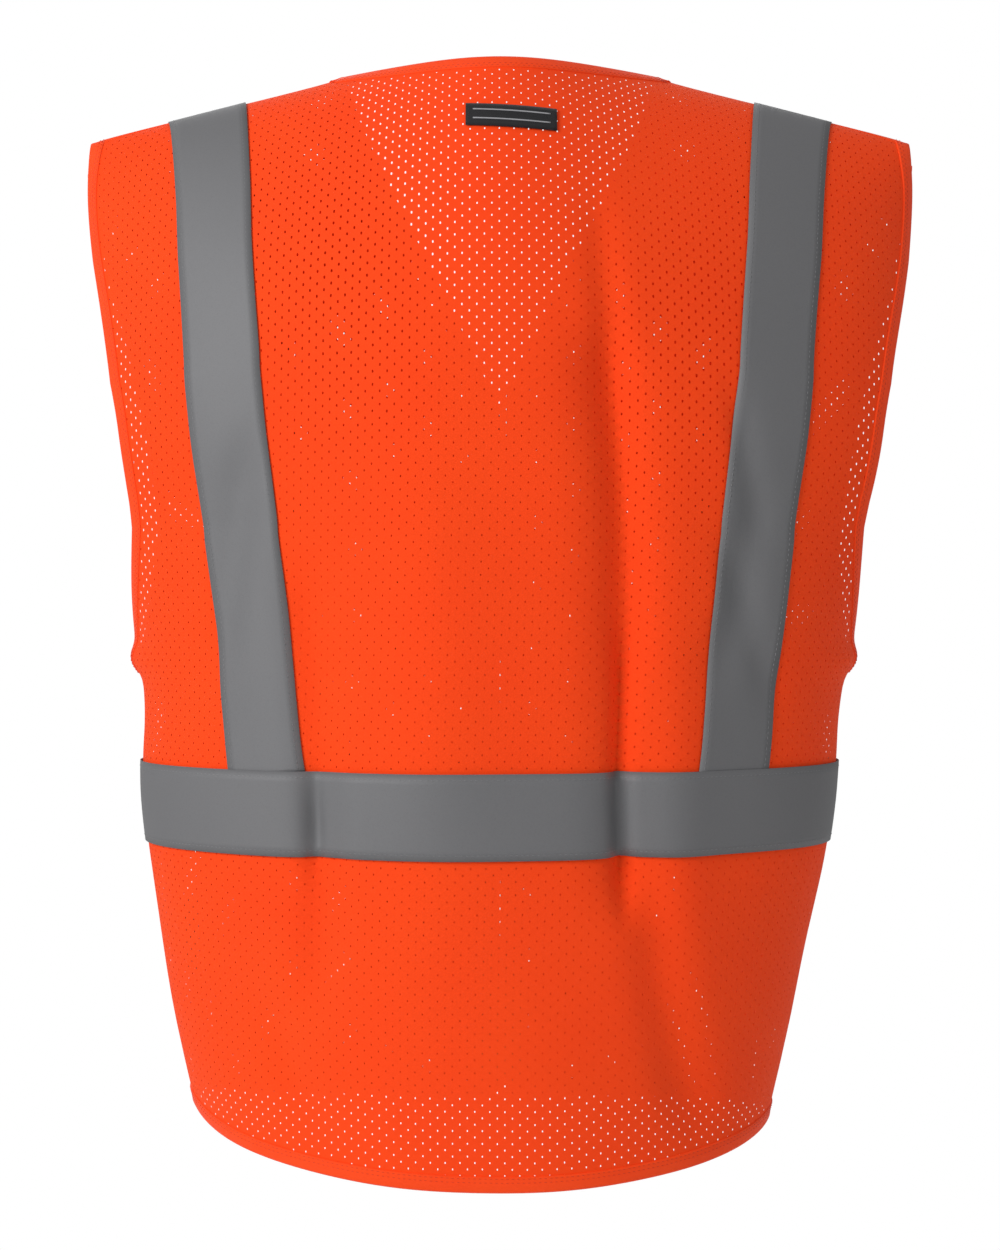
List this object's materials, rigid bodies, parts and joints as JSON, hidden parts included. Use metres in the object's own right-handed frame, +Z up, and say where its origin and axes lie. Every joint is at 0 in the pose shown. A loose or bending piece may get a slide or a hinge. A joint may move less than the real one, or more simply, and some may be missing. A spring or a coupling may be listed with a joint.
{
  "type": "high visibility vest",
  "caption": "Sleeveless mesh safety vest with reflective waist and shoulder tapes, bound edges, pockets and an opening zipped V-neck front.",
  "frame": {"origin": "on the centre plane, level with the high points of the shoulders, where the wearer's shoulders carry the vest", "axes": "+Z up along the back, -Y towards the wearer's front, +X towards the wearer's left"},
  "size_m": [0.5292, 0.2737, 0.6905],
  "materials": {
    "orange_mesh": "matte knitted mesh",
    "orange_binding": "matte woven binding",
    "orange_pocket": "matte woven cloth",
    "reflective_tape": "satin retroreflective tape",
    "black_label": "satin woven label",
    "white_label": "matte printed label without text",
    "zip_tape": "matte woven tape",
    "zip_plastic": "satin",
    "zip_metal": "plated"
  },
  "bodies": {
    "shell": {"back_hem_binding": "orange_binding", "back_neck_binding": "orange_binding", "back_panel": "orange_mesh", "back_waist_tape": "reflective_tape", "care_label": "white_label", "left_armhole_binding": "orange_binding", "left_back_shoulder_tape": "reflective_tape", "left_front_shoulder_tape": "reflective_tape", "left_front_side": "orange_mesh", "left_neck_binding": "orange_binding", "left_side_hem_binding": "orange_binding", "left_side_waist_tape": "reflective_tape", "neck_label": "black_label", "right_armhole_binding": "orange_binding", "right_back_shoulder_tape": "reflective_tape", "right_front_shoulder_tape": "reflective_tape", "right_front_side": "orange_mesh", "right_neck_binding": "orange_binding", "right_side_hem_binding": "orange_binding", "right_side_waist_tape": "reflective_tape"},
    "left_front": {"chest_pocket": "orange_pocket", "chest_pocket_binding": "orange_binding", "left_front_hem_binding": "orange_binding", "left_front_panel": "orange_mesh", "left_front_waist_tape": "reflective_tape", "left_lower_pocket": "orange_pocket", "left_lower_pocket_binding": "orange_binding", "left_top_stop": "zip_plastic", "left_zip_coil": "zip_plastic", "left_zip_tape": "zip_tape", "retainer_box": "zip_plastic"},
    "right_front": {"insertion_pin": "zip_plastic", "right_front_hem_binding": "orange_binding", "right_front_panel": "orange_mesh", "right_front_waist_tape": "reflective_tape", "right_lower_pocket": "orange_pocket", "right_lower_pocket_binding": "orange_binding", "right_top_stop": "zip_plastic", "right_zip_coil": "zip_plastic", "right_zip_tape": "zip_tape"},
    "slider": {"zip_slider": "zip_metal"},
    "pull": {"zip_pull": "zip_metal"}
  },
  "joints": [
    {"name": "left_front_swing", "type": "hinge", "parent": "shell", "child": "left_front", "pos_m": [0.1083, -0.13, -0.44], "axis": [0, 0, 1], "range_deg": [0, 75]},
    {"name": "right_front_swing", "type": "hinge", "parent": "shell", "child": "right_front", "pos_m": [-0.1083, -0.13, -0.44], "axis": [0, 0, -1], "range_deg": [0, 75]},
    {"name": "zip_travel", "type": "slide", "parent": "left_front", "child": "slider", "axis": [0, 0, -1], "range_m": [0, 0.455]},
    {"name": "pull_swing", "type": "hinge", "parent": "slider", "child": "pull", "pos_m": [0, -0.13455, -0.2065], "axis": [-1, 0, 0], "range_deg": [0, 160]}
  ]
}
